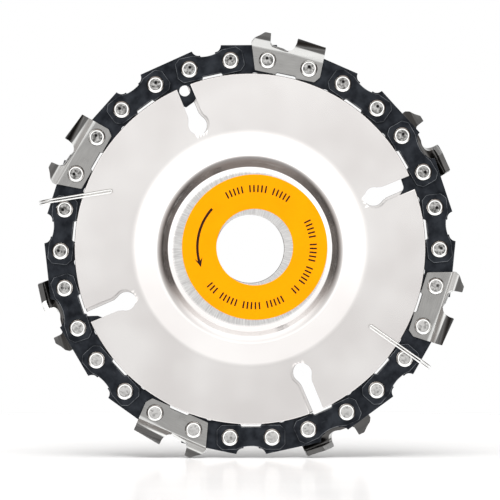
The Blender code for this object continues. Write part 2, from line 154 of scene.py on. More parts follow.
def softened(mesh, width, steps=2, angle=40):
    # Sharp edges broken by a small round
    item = newItem("softening", mesh)
    bevel = item.modifiers.new("edges", "BEVEL")
    bevel.width = width * mm
    bevel.segments = steps
    bevel.limit_method = "ANGLE"
    bevel.angle_limit = math.radians(angle)
    bevel.use_clamp_overlap = True
    return newMesh(item)


def shaded(mesh, angle=35):
    # Smooth shading that keeps the flats flat
    for face in mesh.polygons:
        face.use_smooth = True
    mesh.set_sharp_from_angle(angle=math.radians(angle))
    item = newItem("shading", mesh)
    item.modifiers.new("normals", "WEIGHTED_NORMAL").keep_sharp = True
    return newMesh(item)


def withPlace(mesh):
    # Keeps each point's place on its own link, for patterns that follow the link
    place = mesh.attributes.new("place", "FLOAT_VECTOR", "POINT")
    for point, value in zip(mesh.vertices, place.data):
        value.vector = point.co / mm
    return mesh


def withEdgeMark(mesh, marks, name="bright"):
    # A number on each face, 1 on what is marked and 0 elsewhere: edges worn bright with a painted highlight,
    # a hollow ground bright, and faces that take painted shade
    layer = mesh.attributes.new(name, "FLOAT", "FACE")
    for face, value in zip(mesh.polygons, layer.data):
        value.value = marks(face)
    return mesh


def isBrokenEdge(face):
    return 1.0 if 0.12 < abs(face.normal.z) < 0.97 else 0.0


def arc(centreX, centreY, radius, start, end, steps):
    angles = [math.radians(start + (end - start) * i / steps) for i in range(steps + 1)]
    return [(centreX + radius * math.cos(a), centreY + radius * math.sin(a)) for a in angles]


def ring(centreX, centreY, diameter, steps=40):
    return arc(centreX, centreY, diameter / 2, 0, 360, steps)[:-1]


def rounded(corners, steps=4):
    # A closed outline whose corners are (x, y, radius)
    points = []
    for index, (x, y, radius) in enumerate(corners):
        here = Vector((x, y))
        before = Vector(corners[index - 1][:2]) - here
        after = Vector(corners[(index + 1) % len(corners)][:2]) - here
        bend = before.angle(after)
        if radius <= 0 or bend > math.radians(178):
            points.append((x, y))
            continue
        cut = min(radius / math.tan(bend / 2), 0.49 * before.length, 0.49 * after.length)
        reach = cut * math.tan(bend / 2)
        middle = here + (before.normalized() + after.normalized()).normalized() * math.hypot(cut, reach)
        first = here + before.normalized() * cut - middle
        last = here + after.normalized() * cut - middle
        sweep = first.angle_signed(last)
        for step in range(steps + 1):
            turned = first.copy()
            turned.rotate(Matrix.Rotation(-sweep * step / steps, 2))
            points.append(tuple(middle + turned))
    return points


def flatSheet(loops, thickness, height=0.0):
    # A sheet cut to the first outline, with the others as holes
    curve = bpy.data.curves.new("outline", "CURVE")
    curve.dimensions = "2D"
    curve.fill_mode = "BOTH"
    curve.extrude = thickness / 2 * mm
    for loop in loops:
        spline = curve.splines.new("POLY")
        spline.points.add(len(loop) - 1)
        spline.use_cyclic_u = True
        for point, (x, y) in zip(spline.points, loop):
            point.co = (x * mm, y * mm, 0, 1)
    mesh = newMesh(newItem("outline", curve))
    bpy.data.curves.remove(curve)
    mesh.transform(Matrix.Translation((0, 0, height * mm)))
    return cleaned(mesh, flatten=True)


def turned(profile, steps, closed=False):
    # A profile of (radius, height) turned about z
    mesh = bpy.data.meshes.new("profile")
    count = len(profile)
    edges = [(i, (i + 1) % count) for i in range(count if closed else count - 1)]
    mesh.from_pydata([(r * mm, 0, h * mm) for r, h in profile], edges, [])
    item = newItem("profile", mesh)
    screw = item.modifiers.new("turn", "SCREW")
    screw.steps = steps
    screw.render_steps = steps
    screw.use_merge_vertices = True
    screw.merge_threshold = 0.0005 * mm
    return cleaned(newMesh(item))


def cutWith(mesh, tools):
    # A closed mesh with the shapes of the tools taken out of it
    item = newItem("work", mesh)
    cutters = [newItem("cutter", tool) for tool in tools]
    for cutter in cutters:
        change = item.modifiers.new("cut", "BOOLEAN")
        change.operation = "DIFFERENCE"
        change.solver = "MANIFOLD"
        change.object = cutter
    result = newMesh(item)
    for cutter in cutters:
        bpy.data.objects.remove(cutter)
    return cleaned(result)


def mirrored(mesh):
    # The other hand of a link, for the back of the chain
    copy = mesh.copy()
    copy.transform(Matrix.Scale(-1, 4, (0, 0, 1)))
    copy.flip_normals()
    return shaded(copy)


def standing(mesh):
    # From flat, drawn with z to the front, to upright on the disc
    mesh.transform(Matrix.Rotation(math.pi / 2, 4, "X"))
    return mesh


def finishPiece(name, mesh, body, material, nodes):
    # An object at the origin that rides a body and stands for the nodes it replaces
    item = newItem(name, mesh)
    if material:
        mesh.materials.clear()
        mesh.materials.append(material)
    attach(item, body)
    if nodes:
        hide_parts(*nodes)
    return item


def newFinish(name, baseColor, metallic, roughness, **more):
    material = bpy.data.materials.new(name)
    material.use_nodes = True
    tree = material.node_tree
    shader = tree.nodes["Principled BSDF"]
    settings = {"Base Color": linear(baseColor), "Metallic": metallic, "Roughness": roughness, **more}
    for socket, value in settings.items():
        shader.inputs[socket].default_value = value
    return material, tree, shader


def toned(tree, value, low, high, first, second):
    # One colour passing into another as a value goes from low to high
    share = addNode(tree, "ShaderNodeMapRange", (value, low, high, 0.0, 1.0))
    return addNode(tree, "ShaderNodeMix", {0: share, 6: linear(first), 7: linear(second)}, **colorMix)


def dressed(tree, shader, color, relief, depth, strength, sheen=None):
    # Gives a finish its colour, its fine relief with a depth in millimetres, and its roughness
    tree.links.new(color, shader.inputs["Base Color"])
    if sheen is not None:
        tree.links.new(sheen, shader.inputs["Roughness"])
    bump = addNode(tree, "ShaderNodeBump", {"Height": relief, "Distance": depth * mm, "Strength": strength})
    tree.links.new(bump, shader.inputs["Normal"])


def linkSpot(tree):
    # A point's place on its link, and that place moved at random so that no two links match
    place = addNode(tree, "ShaderNodeAttribute", output="Vector", attribute_name="place")
    chance = addNode(tree, "ShaderNodeAttribute", output="Fac", attribute_name="chance")
    shift = addNode(tree, "ShaderNodeMath", (chance, 90.0), operation="MULTIPLY")
    return place, addNode(tree, "ShaderNodeVectorMath", (place, shift), operation="ADD")


def satinStainless():
    # 304 sheet, cold rolled and satin polished: an even pale grey with a faint turned grain,
    # short radial strokes where the hub's face was linished, and painted shade on the slots' walls and broken
    # edges
    # Strokes are as wide as it says where they cross the circle of strokeRadius
    plate = {
        "strokeLength": 2.6,
        "strokeWidth": 0.17,
        "strokeRadius": 13,
        "grainWidth": 0.12,
        "grainAbout": 4.0,
        "patchSize": 16.0,
        "hubFace": 17.9,
        "hubFade": 0.4,
    }
    material, tree, shader = newFinish("satinStainless", "#E3E0DE", 1.0, 0.22)
    spot = addNode(tree, "ShaderNodeTexCoord", output="Object")
    flat = addNode(tree, "ShaderNodeVectorMath", (spot, (1 / mm, 0, 1 / mm)), operation="MULTIPLY")
    radius = addNode(tree, "ShaderNodeVectorMath", [flat], "Value", operation="LENGTH")
    heading = addNode(tree, "ShaderNodeVectorMath", [flat], operation="NORMALIZE")
    # Strokes are even round the disc and stretched outwards; the grain is the other way about
    strokeScales = (1 / plate["strokeLength"], plate["strokeRadius"] / plate["strokeWidth"])
    patterns = []
    for outwards, about in (strokeScales, (1 / plate["grainWidth"], plate["grainAbout"])):
        along = addNode(tree, "ShaderNodeMath", (radius, outwards), operation="MULTIPLY")
        across = addNode(tree, "ShaderNodeVectorMath", (heading, (about,) * 3), operation="MULTIPLY")
        lift = addNode(tree, "ShaderNodeCombineXYZ", {1: along})
        drawn = addNode(tree, "ShaderNodeVectorMath", (across, lift), operation="ADD")
        patterns.append(addNode(tree, "ShaderNodeTexNoise", {"Vector": drawn, "Scale": 1.0, "Detail": 2.0}))
    strokes, grain = patterns
    patches = addNode(tree, "ShaderNodeTexNoise", {"Vector": spot, "Scale": 1 / (plate["patchSize"] * mm)})
    edge = (radius, plate["hubFace"], plate["hubFace"] + plate["hubFade"], 1.0, 0.0)
    onHub = addNode(tree, "ShaderNodeMapRange", edge, **smooth)
    sheetColor = toned(tree, patches, 0.35, 0.65, "#E0DCDA", "#E7E4E2")
    hubColor = toned(tree, strokes, 0.36, 0.66, "#BEBCBB", "#D8D7D5")
    polishAndHighlight = addNode(tree, "ShaderNodeMix", {0: onHub, 6: sheetColor, 7: hubColor}, **colorMix)
    # Painted shade on the slots' walls and broken edges
    cut = addNode(tree, "ShaderNodeAttribute", output="Fac", attribute_name="cut")
    slotShaded = addNode(tree, "ShaderNodeMix", {0: cut, 6: polishAndHighlight, 7: linear("#4F4B48")}, **colorMix)
    satin = addNode(tree, "ShaderNodeMapRange", (patches, 0.3, 0.7, 0.2, 0.24))
    sheen = addNode(tree, "ShaderNodeMath", (onHub, 0.08, satin), operation="MULTIPLY_ADD")
    faint = addNode(tree, "ShaderNodeMath", (grain, 0.2), operation="MULTIPLY")
    relief = addNode(tree, "ShaderNodeMix", {0: onHub, 2: faint, 3: strokes}, data_type="FLOAT")
    dressed(tree, shader, slotShaded, relief, 0.012, 0.5, sheen)
    return material


def blackedSteel():
    # Hardened spring steel, oil blacked: blue-black with a dull sheen, its edges painted light grey in
    # patches, for bare metal where worn and for a painted highlight; the blacking's grain is drawn at 0.12
    # mm, coarser than it is, so that it shows
    material, tree, shader = newFinish("blackedSteel", "#1B1D21", 1.0, 0.4)
    spot = linkSpot(tree)[1]
    bright = addNode(tree, "ShaderNodeAttribute", output="Fac", attribute_name="bright")
    clouds = addNode(tree, "ShaderNodeTexNoise", {"Vector": spot, "Scale": 1 / 2.5, "Detail": 4.0})
    pores = addNode(tree, "ShaderNodeTexNoise", {"Vector": spot, "Scale": 1 / 0.12, "Detail": 2.0})
    streaks = addNode(tree, "ShaderNodeVectorMath", (spot, (0.5, 4.0, 1.0)), operation="MULTIPLY")
    scuffs = addNode(tree, "ShaderNodeTexNoise", {"Vector": streaks, "Scale": 1.2, "Detail": 5.0})
    skinColor = toned(tree, clouds, 0.35, 0.68, "#1D1F23", "#33363B")
    patchy = addNode(tree, "ShaderNodeMapRange", (clouds, 0.35, 0.62, 0.05, 0.6))
    # Edges painted light grey in patches: bare metal where worn, and a painted highlight
    rubbedAndLitEdges = addNode(tree, "ShaderNodeMath", (bright, patchy), operation="MULTIPLY")
    scratched = addNode(tree, "ShaderNodeMapRange", (scuffs, 0.66, 0.76, 0.0, 0.1))
    wornAndHighlit = addNode(tree, "ShaderNodeMath", (rubbedAndLitEdges, scratched), operation="MAXIMUM")
    bareAndHighlit = addNode(tree, "ShaderNodeMix", {0: wornAndHighlit, 6: skinColor, 7: linear("#9A9DA2")}, **colorMix)
    sheen = addNode(tree, "ShaderNodeMapRange", (clouds, 0.3, 0.7, 0.34, 0.46))
    dressed(tree, shader, bareAndHighlit, pores, 0.012, 0.4, sheen)
    return material


def satinChrome():
    # Tooth steel under thin hard chrome: neutral grey grained along the sheet, a painted highlight on the
    # flare, painted shade on the top and inside the bend, and the filed hollow bright
    band = {
        "highlightStart": 2.3,
        "highlightFull": 2.8,
        "darkStart": 4.25,
        "darkFull": 4.55,
        "slope": 0.075,
    }
    material, tree, shader = newFinish("satinChrome", "#A6A6A4", 1.0, 0.32)
    place, spot = linkSpot(tree)
    filed = addNode(tree, "ShaderNodeAttribute", output="Fac", attribute_name="bright")
    inner = addNode(tree, "ShaderNodeAttribute", output="Fac", attribute_name="inner")
    drawn = addNode(tree, "ShaderNodeVectorMath", (spot, (0.35, 8.0, 8.0)), operation="MULTIPLY")
    grain = addNode(tree, "ShaderNodeTexNoise", {"Vector": drawn, "Scale": 1.0, "Detail": 3.0})
    clouds = addNode(tree, "ShaderNodeTexNoise", {"Vector": spot, "Scale": 1 / 3.0})
    split = addNode(tree, "ShaderNodeSeparateXYZ", [place]).node.outputs
    # The bands follow the tooth's top, which falls a little towards its rear
    rearward = addNode(tree, "ShaderNodeMath", (split[0], 0.0), operation="MAXIMUM")
    height = addNode(tree, "ShaderNodeMath", (rearward, band["slope"], split[1]), operation="MULTIPLY_ADD")
    up = (height, band["highlightStart"], band["highlightFull"], 0.0, 1.0)
    over = (height, band["darkStart"], band["darkFull"], 0.0, 1.0)
    polishAndHighlight = addNode(tree, "ShaderNodeMapRange", up, **smooth)
    topShade = addNode(tree, "ShaderNodeMapRange", over, **smooth)
    color = toned(tree, grain, 0.3, 0.7, "#8F8E8C", "#9F9E9C")
    # Each coat lies over the last: the flare's painted highlight, the top's painted shade, the painted shade
    # inside the bend, the filed hollow
    for share, coat in ((polishAndHighlight, "#CECECC"), (topShade, "#5A5958"), (inner, "#545352"), (filed, "#DFDFDD")):
        color = addNode(tree, "ShaderNodeMix", {0: share, 6: color, 7: linear(coat)}, **colorMix)
    satin = addNode(tree, "ShaderNodeMapRange", (clouds, 0.3, 0.7, 0.26, 0.36))
    sheen = addNode(tree, "ShaderNodeMath", (filed, -0.1, satin), operation="MULTIPLY_ADD")
    dressed(tree, shader, color, grain, 0.01, 0.5, sheen)
    return material


def peenedSteel():
    # Plain rivet steel with its head spun over: a bright burnished ring round a dull, dented middle
    head = {
        "middle": 1.3,
        "ring": 1.42,
        "rim": 1.9,
        "dimple": 0.4,
        "dimplePlace": (0.3, 0.34, 0.0),
        "dentSize": 0.6,
        "dentDepth": 0.14,
    }
    material, tree, shader = newFinish("peenedSteel", "#EDEDEB", 1.0, 0.2)
    place, spot = linkSpot(tree)
    flat = addNode(tree, "ShaderNodeVectorMath", (place, (1, 1, 0)), operation="MULTIPLY")
    radius = addNode(tree, "ShaderNodeVectorMath", [flat], "Value", operation="LENGTH")
    edge = (radius, head["middle"], head["ring"], 1.0, 0.0)
    middle = addNode(tree, "ShaderNodeMapRange", edge, **smooth)
    worked = {"Vector": spot, "Scale": 1 / head["dentSize"], "Detail": 4.0}
    dents = addNode(tree, "ShaderNodeTexNoise", worked)
    # The heads are painted lighter towards the bottom of the disc and darker towards its top
    spread = addNode(tree, "ShaderNodeTexCoord", output="Object")
    up = addNode(tree, "ShaderNodeSeparateXYZ", [spread], 2)
    lowOnDisc = addNode(tree, "ShaderNodeMapRange", (up, -0.03, 0.005, 1.0, 0.0), **smooth)
    lighter = addNode(tree, "ShaderNodeMath", (lowOnDisc, 0.16, dents), operation="MULTIPLY_ADD")
    dullColor = toned(tree, lighter, 0.36, 0.66, "#4B4A48", "#B8B7B5")
    # Painted shade: a dark pit beside the middle, where the spinning tool's point pressed and the mesh has no
    # pit, and a black rim on the head's side
    reach = addNode(tree, "ShaderNodeVectorMath", (flat, head["dimplePlace"]), "Value", operation="DISTANCE")
    near = addNode(tree, "ShaderNodeMapRange", (reach, head["dimple"] * 0.7, head["dimple"] * 1.2, 1.0, 0.0))
    # The pit's painted shade fades towards the bottom of the disc
    pitByHeight = addNode(tree, "ShaderNodeMath", (lowOnDisc, -0.85, 1.0), operation="MULTIPLY_ADD")
    pitShade = addNode(tree, "ShaderNodeMath", (near, pitByHeight), operation="MULTIPLY")
    pitShaded = addNode(tree, "ShaderNodeMix", {0: pitShade, 6: dullColor, 7: linear("#161616")}, **colorMix)
    # The rim's black is painted shade on the head's side
    outside = (radius, head["rim"], head["rim"] + 0.08, 0.0, 1.0)
    rim = addNode(tree, "ShaderNodeMapRange", outside, **smooth)
    bright = {0: rim, 6: linear("#F4F4F2"), 7: linear("#2A2A2C")}
    ringAndRimShade = addNode(tree, "ShaderNodeMix", bright, **colorMix)
    color = addNode(tree, "ShaderNodeMix", {0: middle, 6: ringAndRimShade, 7: pitShaded}, **colorMix)
    sheen = addNode(tree, "ShaderNodeMath", (middle, 0.18, 0.14), operation="MULTIPLY_ADD")
    relief = addNode(tree, "ShaderNodeMath", (dents, middle), operation="MULTIPLY")
    dressed(tree, shader, color, relief, head["dentDepth"], 0.8, sheen)
    return material


def printedVinyl():
    # Self-adhesive vinyl, screen printed amber: even colour, a slight gloss, a faint orange peel
    more = {"IOR": 1.5, "Specular IOR Level": 0.04}
    material, tree, shader = newFinish("printedVinyl", "#F89D00", 0.0, 0.4, **more)
    spot = addNode(tree, "ShaderNodeTexCoord", output="Object")
    peel = addNode(tree, "ShaderNodeTexNoise", {"Vector": spot, "Scale": 1 / (0.5 * mm), "Detail": 2.0})
    cover = addNode(tree, "ShaderNodeTexNoise", {"Vector": spot, "Scale": 1 / (7 * mm), "Detail": 3.0})
    dressed(tree, shader, toned(tree, cover, 0.3, 0.7, "#F59900", "#FA9F00"), peel, 0.01, 0.3)
    return material


def screenInk():
    # Dark brown screen ink: thin, matt, and a little uneven where it took on the vinyl
    material, tree, shader = newFinish("screenInk", "#2A1005", 0.0, 0.55, **{"Specular IOR Level": 0.15})
    spot = addNode(tree, "ShaderNodeTexCoord", output="Object")
    cover = addNode(tree, "ShaderNodeTexNoise", {"Vector": spot, "Scale": 1 / (0.35 * mm), "Detail": 3.0})
    dressed(tree, shader, toned(tree, cover, 0.35, 0.75, "#220C03", "#3E1E0A"), cover, 0.006, 0.4)
    return material


def drawnWire():
    # Bright drawn spring wire: nearly a mirror, with fine lines from the die
    material, tree, shader = newFinish("drawnWire", "#F0F0EE", 1.0, 0.16)
    spot = addNode(tree, "ShaderNodeTexCoord", output="Object")
    stretched = addNode(tree, "ShaderNodeVectorMath", (spot, (1, 20, 6)), operation="MULTIPLY")
    lines = addNode(tree, "ShaderNodeTexNoise", {"Vector": stretched, "Scale": 1 / (0.5 * mm), "Detail": 2.0})
    sheen = addNode(tree, "ShaderNodeMapRange", (lines, 0.3, 0.7, 0.12, 0.22))
    dressed(tree, shader, toned(tree, lines, 0.3, 0.7, "#E2E2E0", "#F8F8F6"), lines, 0.006, 0.4, sheen)
    return material


def whiteBoard():
    # White lacquered board: a clean pale ground that hardly mirrors what stands on it
    material, tree, shader = newFinish("whiteBoard", "#DCDCDC", 0.0, 0.12, IOR=1.02)
    spot = addNode(tree, "ShaderNodeTexCoord", output="Object")
    grain = addNode(tree, "ShaderNodeTexNoise", {"Vector": spot, "Scale": 1 / (40 * mm), "Detail": 2.0})
    sheen = addNode(tree, "ShaderNodeMapRange", (grain, 0.3, 0.7, 0.1, 0.16))
    tree.links.new(sheen, shader.inputs["Roughness"])
    return material


print("stage: finishes")
finishes = {
    "plate": satinStainless(),
    "black": blackedSteel(),
    "tooth": satinChrome(),
    "rivet": peenedSteel(),
    "vinyl": printedVinyl(),
    "ink": screenInk(),
    "wire": drawnWire(),
}


def loopTree():
    # Sets one piece out round the disc, again and again, with places left out where another goes
    tree = bpy.data.node_groups.new("roundTheDisc", "GeometryNodeTree")
    inputs = {
        "Piece": ("NodeSocketObject", None),
        "Count": ("NodeSocketInt", 15),
        "Per Link": ("NodeSocketInt", 1),
        "First Angle": ("NodeSocketFloat", 0.0),
        "Step Angle": ("NodeSocketFloat", 24.0),
        "Half Angle": ("NodeSocketFloat", 0.0),
        "Radius": ("NodeSocketFloat", 0.04),
        "Leave Out Every": ("NodeSocketInt", 1000),
        "Leave Out From": ("NodeSocketInt", 999),
        "Leave Out Below": ("NodeSocketInt", 0),
        "Spin": ("NodeSocketFloat", 0.0),
        "Seed": ("NodeSocketInt", 7),
        "Material": ("NodeSocketMaterial", None),
    }
    names = {}
    for label, (kind, value) in inputs.items():
        socket = tree.interface.new_socket(name=label, in_out="INPUT", socket_type=kind)
        if value is not None:
            socket.default_value = value
        names[label] = socket.identifier
    tree.interface.new_socket(name="Geometry", in_out="OUTPUT", socket_type="NodeSocketGeometry")
    given = tree.nodes.new("NodeGroupInput").outputs
    count = addNode(tree, "GeometryNodeInputIndex")
    links = addNode(tree, "ShaderNodeMath", (count, given["Per Link"]), operation="DIVIDE")
    link = addNode(tree, "ShaderNodeMath", [links], operation="FLOOR")
    # With two on each link, one goes either side of its middle
    along = addNode(tree, "ShaderNodeMath", (count, given["Per Link"]), operation="MODULO")
    last = addNode(tree, "ShaderNodeMath", (given["Per Link"], 1.0), operation="SUBTRACT")
    twice = addNode(tree, "ShaderNodeMath", (along, 2.0), operation="MULTIPLY")
    side = addNode(tree, "ShaderNodeMath", (twice, last), operation="SUBTRACT")
    middle = (link, given["Step Angle"], given["First Angle"])
    degrees = addNode(tree, "ShaderNodeMath", middle, operation="MULTIPLY_ADD")
    offset = addNode(tree, "ShaderNodeMath", (side, given["Half Angle"], degrees), operation="MULTIPLY_ADD")
    angle = addNode(tree, "ShaderNodeMath", [offset], operation="RADIANS")
    sine = addNode(tree, "ShaderNodeMath", [angle], operation="SINE")
    cosine = addNode(tree, "ShaderNodeMath", [angle], operation="COSINE")
    across = addNode(tree, "ShaderNodeMath", (sine, given["Radius"]), operation="MULTIPLY")
    up = addNode(tree, "ShaderNodeMath", (cosine, given["Radius"]), operation="MULTIPLY")
    place = addNode(tree, "ShaderNodeCombineXYZ", {0: across, 2: up})
    turn = addNode(tree, "ShaderNodeCombineXYZ", {0: math.pi / 2, 1: angle})
    facing = addNode(tree, "FunctionNodeEulerToRotation", [turn])
    cycle = addNode(tree, "ShaderNodeMath", (count, given["Leave Out Every"]), operation="MODULO")
    inCycle = addNode(tree, "ShaderNodeMath", (cycle, given["Leave Out From"], 0.1), operation="COMPARE")
    early = addNode(tree, "ShaderNodeMath", (count, given["Leave Out Below"]), operation="LESS_THAN")
    left = addNode(tree, "ShaderNodeMath", (inCycle, early), operation="MULTIPLY")
    kept = addNode(tree, "ShaderNodeMath", (1.0, left), operation="SUBTRACT")
    points = addNode(tree, "GeometryNodePoints", {"Count": given["Count"], "Position": place})
    item = {"Object": given["Piece"]}
    piece = addNode(tree, "GeometryNodeObjectInfo", item, "Geometry", transform_space="ORIGINAL")
    setting = {"Points": points, "Instance": piece, "Selection": kept, "Rotation": facing}
    copies = addNode(tree, "GeometryNodeInstanceOnPoints", setting)
    chance = addNode(tree, "FunctionNodeRandomValue", {"Seed": given["Seed"]}, 1, data_type="FLOAT")
    fullTurn = addNode(tree, "ShaderNodeMath", (chance, 2 * math.pi), operation="MULTIPLY")
    spin = addNode(tree, "ShaderNodeMath", (fullTurn, given["Spin"]), operation="MULTIPLY")
    spinTurn = addNode(tree, "ShaderNodeCombineXYZ", {2: spin})
    spun = addNode(tree, "GeometryNodeRotateInstances", {"Instances": copies, "Rotation": spinTurn})
    stored = {"Geometry": spun, "Name": "chance", "Value": chance}
    marked = addNode(tree, "GeometryNodeStoreNamedAttribute", stored, data_type="FLOAT", domain="INSTANCE")
    real = addNode(tree, "GeometryNodeRealizeInstances", [marked])
    painted = addNode(tree, "GeometryNodeSetMaterial", {"Geometry": real, "Material": given["Material"]})
    addNode(tree, "NodeGroupOutput", [painted])
    return tree, names


roundTheDisc, loopInputs = loopTree()


def setOut(name, pieceMesh, material, **values):
    # Sets a piece out round the disc and gives the plain mesh of all its copies
    source = newItem("source", pieceMesh)
    item = newItem(name, bpy.data.meshes.new(name))
    change = item.modifiers.new("setOut", "NODES")
    change.node_group = roundTheDisc
    change[loopInputs["Piece"]] = source
    change[loopInputs["Material"]] = material
    for label, value in values.items():
        words = "".join(" " + c if c.isupper() else c for c in label[0].upper() + label[1:]).strip()
        change[loopInputs[words]] = value
    mesh = newMesh(item)
    bpy.data.objects.remove(source)
    return mesh


plates = {
    "thickness": 1.5,
    "boreRadius": 7.95,
    "hubHeight": 3.4,
    "backHubHeight": 4.64,
    "hubFace": 17.75,
    "hubLip": 18.85,
    "lipDrop": 0.28,
    "wallFoot": 20.62,
    "wallFootHeight": 0.85,
    "dishEdge": 27.5,
    "nestInset": 1.0,
    "faceRound": 0.6,
    "lipRound": 0.5,
    "wallFootRound": 6.0,
    "dishRound": 12.0,
    "insideRound": 0.3,
    "insideFootMore": 1.2,
    "edgeRound": 0.22,
    "roundSteps": 9,
    "turnSteps": 240,
    "slotCount": 4,
    "slotAngle": 67.7,
    "slotWidth": 3.4,
    "slotEndRadius": 2.5,
    "slotEndPlace": 31.7,
    "slotCornerTurn": 12,
    "slotNeck": 0.75,
    "backTurn": -1.2,
    "slotEdgeRound": 0.2,
}


def offsetLine(points, distance):
    # The line that runs beside another at an even distance, to its left
    shifted = []
    for index, point in enumerate(points):
        here = Vector(point)
        into = (here - Vector(points[index - 1])).normalized() if index else None
        away = (Vector(points[index + 1]) - here).normalized() if index + 1 < len(points) else None
        into = into or away
        away = away or into
        side = Vector((-into.y - away.y, into.x + away.x)).normalized()
        reach = distance / side.dot(Vector((-into.y, into.x)))
        shifted.append(tuple(here + side * reach))
    return shifted


def plateSection(hubHeight, inset, base):
    foot = plates["wallFootHeight"] + (hubHeight - plates["hubHeight"]) / 2
    line = [
        (plates["boreRadius"], base + hubHeight),
        (plates["hubFace"] - inset, base + hubHeight),
        (plates["hubLip"] - inset, base + hubHeight - plates["lipDrop"]),
        (plates["wallFoot"] - inset, base + foot),
        (plates["dishEdge"] - inset, base),
        (rimRadius, base),
    ]
    half = plates["thickness"] / 2
    edge = plates["edgeRound"]
    wallFoot, dish, inside = plates["wallFootRound"], plates["dishRound"], plates["insideRound"]
    rounds = [edge, plates["faceRound"], plates["lipRound"], wallFoot, dish, edge]
    # The back of the sheet bends wider at the wall's foot, and tighter where the dish turns flat
    backFoot, backDish = wallFoot + plates["insideFootMore"], dish - plates["thickness"]
    insideRounds = [edge, inside, inside, backFoot, backDish, edge]
    front = [(x, y, r) for (x, y), r in zip(offsetLine(line, half), rounds)]
    back = [(x, y, r) for (x, y), r in zip(offsetLine(line, -half), insideRounds)]
    return rounded(front + back[::-1], plates["roundSteps"])


def keyhole():
    # From past the rim to a round end, with soft corners where the two meet
    half = plates["slotWidth"] / 2
    radius = plates["slotEndRadius"]
    opening = math.degrees(math.asin(half / radius))
    neck = plates["slotEndPlace"] + radius * math.cos(math.radians(opening))
    first = opening + plates["slotCornerTurn"]
    end = arc(0, plates["slotEndPlace"], radius, 90 + first, 450 - first, 36)
    low, high = neck + plates["slotNeck"], rimRadius + 2
    return end + [(half, low), (half, high), (-half, high), (-half, low)]


def plateMesh(hubHeight, inset, base, turn):
    mesh = turned(plateSection(hubHeight, inset, base), plates["turnSteps"], closed=True)
    slots = []
    for index in range(plates["slotCount"]):
        slot = flatSheet([keyhole()], 30)
        angle = math.radians(plates["slotAngle"] + turn + index * 360 / plates["slotCount"])
        slot.transform(Matrix.Rotation(-angle, 4, "Z"))
        slots.append(slot)
    mesh = cutWith(mesh, slots)
    mesh = shaded(softened(mesh, plates["slotEdgeRound"], 2, 55))

    def cut(face):
        # The slots' walls and broken edges, outside the dish, which take painted shade
        outside = face.center.xy.length > (plates["dishEdge"] + 1) * mm
        inside = face.center.xy.length < (rimRadius - 0.4) * mm
        return 1.0 if abs(face.normal.z) < 0.93 and outside and inside else 0.0

    return standing(withEdgeMark(mesh, cut, "cut"))


print("stage: plates")
plateMiddle = plateFace - plates["thickness"] / 2
frontPlate = plateMesh(plates["hubHeight"], 0, plateMiddle, 0)
finishPiece("frontPlateSheet", frontPlate, "front_plate", finishes["plate"], ["front_plate"])
backPlate = plateMesh(plates["backHubHeight"], plates["nestInset"], -plateMiddle, plates["backTurn"])
finishPiece("backPlateSheet", backPlate, "back_plate", finishes["plate"], ["back_plate"])


label = {
    "innerRadius": 8.95,
    "arrowRadius": 13.4,
    "arrowStart": 312,
    "arrowEnd": 256,
    "arrowWidth": 0.58,
    "arrowHead": 1.5,
    "inkThickness": 0.02,
    "tickRadius": 13.7,
    "tickWidth": 0.36,
    "tickHeight": 1.7,
    "tickStep": 3.9,
    "rows": {"rowRight": (64, 20), "rowBelow": (152, 21), "rowAbove": (332, 18)},
}


def discPoint(radius, clockAngle):
    angle = math.radians(clockAngle)
    return radius * math.sin(angle), radius * math.cos(angle)


def arrowOutline():
    # A plain curved arrow for the way the disc turns
    half = label["arrowWidth"] / 2
    radius, start, end = label["arrowRadius"], label["arrowStart"], label["arrowEnd"]
    turns = [start + (end - start) * i / 24 for i in range(25)]
    outer = [discPoint(radius + half, a) for a in turns]
    inner = [discPoint(radius - half, a) for a in turns]
    tip = end - math.degrees(label["arrowHead"] / radius)
    barb = end + math.degrees(0.45 * label["arrowHead"] / radius)
    head = [
        discPoint(radius + 0.62 * label["arrowHead"], barb),
        discPoint(radius, tip),
        discPoint(radius - 0.62 * label["arrowHead"], barb),
    ]
    return outer + head + inner[::-1]


print("stage: label")
vinylEdge = 0.06
vinyl = rounded([
    (label["innerRadius"], labelFront, vinylEdge),
    (labelRadius, labelFront, vinylEdge),
    (labelRadius, labelBack, 0.01),
    (label["innerRadius"], labelBack, 0.01),
], 3)
vinylMesh = standing(shaded(turned(vinyl, 180, closed=True)))
vinylMesh.transform(Matrix.Translation(labelMiddle))
finishPiece("labelVinyl", vinylMesh, "front_plate", finishes["vinyl"], ["label"])

inkHeight = labelFront + label["inkThickness"] / 2 + 0.002
arrowMesh = standing(flatSheet([arrowOutline()], label["inkThickness"], inkHeight))
arrowMesh.transform(Matrix.Translation(labelMiddle))
finishPiece("labelArrow", arrowMesh, "front_plate", finishes["ink"], [])

tick = rounded([
    (-label["tickWidth"] / 2, -label["tickHeight"] / 2, 0.12),
    (label["tickWidth"] / 2, -label["tickHeight"] / 2, 0.12),
    (label["tickWidth"] / 2, label["tickHeight"] / 2, 0.12),
    (-label["tickWidth"] / 2, label["tickHeight"] / 2, 0.12),
], 3)
for rowName, (start, count) in label["rows"].items():
    # A plain row of ticks stands where printing would be
    tickMesh = flatSheet([tick], label["inkThickness"], inkHeight)
    row = setOut(
        rowName, tickMesh, finishes["ink"], count=count, firstAngle=start, stepAngle=label["tickStep"],
        radius=label["tickRadius"] * mm, leaveOutEvery=6, leaveOutFrom=5, leaveOutBelow=count,
    )
    row.transform(Matrix.Translation(labelMiddle))
    finishPiece(rowName, row, "front_plate", None, [])


